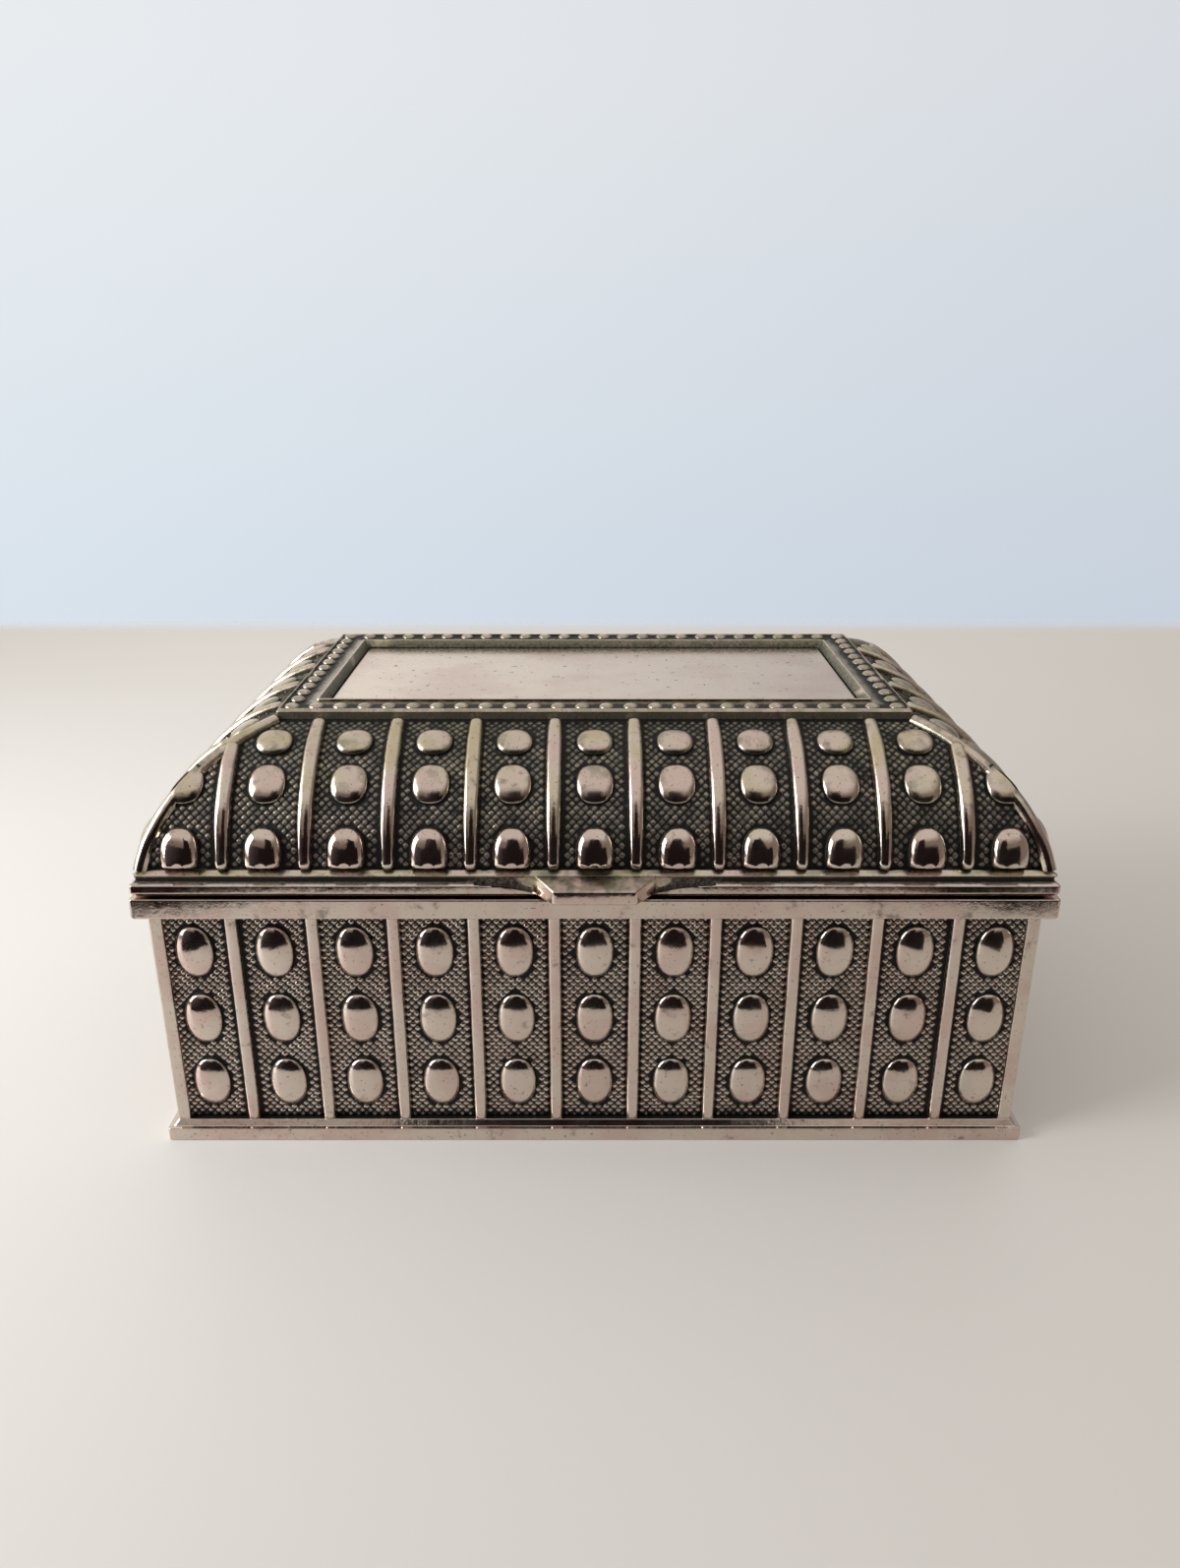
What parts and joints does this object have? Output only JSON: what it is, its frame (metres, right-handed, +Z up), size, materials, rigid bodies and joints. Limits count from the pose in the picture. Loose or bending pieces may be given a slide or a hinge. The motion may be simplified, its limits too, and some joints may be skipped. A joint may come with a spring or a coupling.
{
  "type": "trinket box",
  "caption": "Plated cast casket with ribbed, bossed walls and a hinged mitred lid under a bead-framed plate, lined with padded velvet to hold small jewellery",
  "frame": {"origin": "on the table, under the middle of the foot", "axes": "X along the front from left to right, Y from front to back, Z up"},
  "size_m": [0.1174, 0.0825, 0.0572],
  "materials": {
    "cast_silver": "satin",
    "polished_silver": "polished",
    "pin_steel": "satin",
    "velvet": "matte",
    "baize": "matte",
    "card": "matte",
    "wadding": "matte"
  },
  "bodies": {
    "tray": {"base_casting": "cast_silver", "base_baize": "baize", "hinge_pin": "pin_steel", "front_wall_card": "card", "front_wall_velvet": "velvet", "right_wall_card": "card", "right_wall_velvet": "velvet", "back_wall_card": "card", "back_wall_velvet": "velvet", "left_wall_card": "card", "left_wall_velvet": "velvet", "floor_card": "card", "floor_wadding": "wadding", "floor_velvet": "velvet"},
    "lid": {"lid_casting": "cast_silver", "lid_plate": "polished_silver", "lid_card": "card", "lid_wadding": "wadding", "lid_velvet": "velvet"}
  },
  "joints": [
    {"name": "lid_hinge", "type": "hinge", "parent": "tray", "child": "lid", "pos_m": [0, 0.04025, 0.03705], "axis": [-1, 0, 0], "range_deg": [0, 100]}
  ]
}
